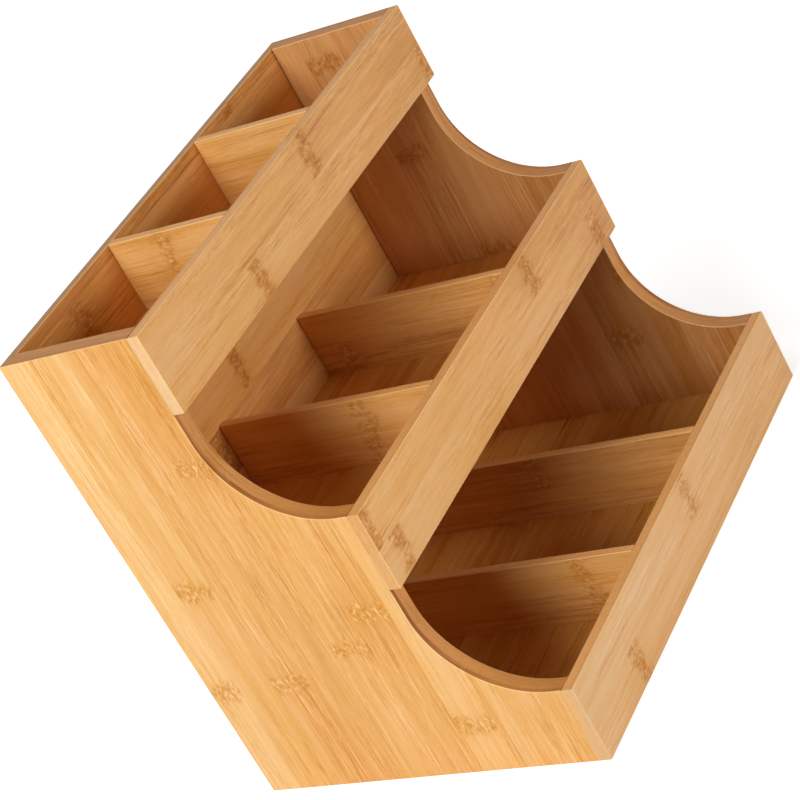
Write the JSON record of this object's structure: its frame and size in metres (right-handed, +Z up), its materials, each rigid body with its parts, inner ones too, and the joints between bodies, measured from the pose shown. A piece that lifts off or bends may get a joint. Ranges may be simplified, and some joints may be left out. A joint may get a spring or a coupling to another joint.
{
  "type": "tea bag organizer",
  "caption": "Stair-stepped bamboo tea bag organizer: stacked open trays split by dividers, with low front panels, scooped sides and one full-height back.",
  "frame": {"origin": "middle of the footprint, on the surface that the organizer stands on", "axes": "+Z up, -Y towards the front where the low panels are, +X to the right seen from the front"},
  "size_m": [0.24, 0.16, 0.215],
  "materials": {
    "side_bamboo": "satin clear coat on carbonised bamboo, grain upright",
    "front_bamboo": "satin clear coat on carbonised bamboo, grain along the width",
    "back_bamboo": "satin clear coat on carbonised bamboo, grain along the width",
    "floor_bamboo": "satin clear coat on carbonised bamboo, grain along the width",
    "divider_bamboo": "satin clear coat on carbonised bamboo, grain from front to back"
  },
  "bodies": {
    "root": {"left_side_panel": "side_bamboo", "right_side_panel": "side_bamboo", "back_panel": "back_bamboo", "bottom_floor": "floor_bamboo", "middle_floor": "floor_bamboo", "top_floor": "floor_bamboo", "bottom_front_panel": "front_bamboo", "middle_front_panel": "front_bamboo", "top_front_panel": "front_bamboo", "bottom_divider_left": "divider_bamboo", "bottom_divider_right": "divider_bamboo", "middle_divider_left": "divider_bamboo", "middle_divider_right": "divider_bamboo", "top_divider_left": "divider_bamboo", "top_divider_right": "divider_bamboo"}
  },
  "joints": []
}
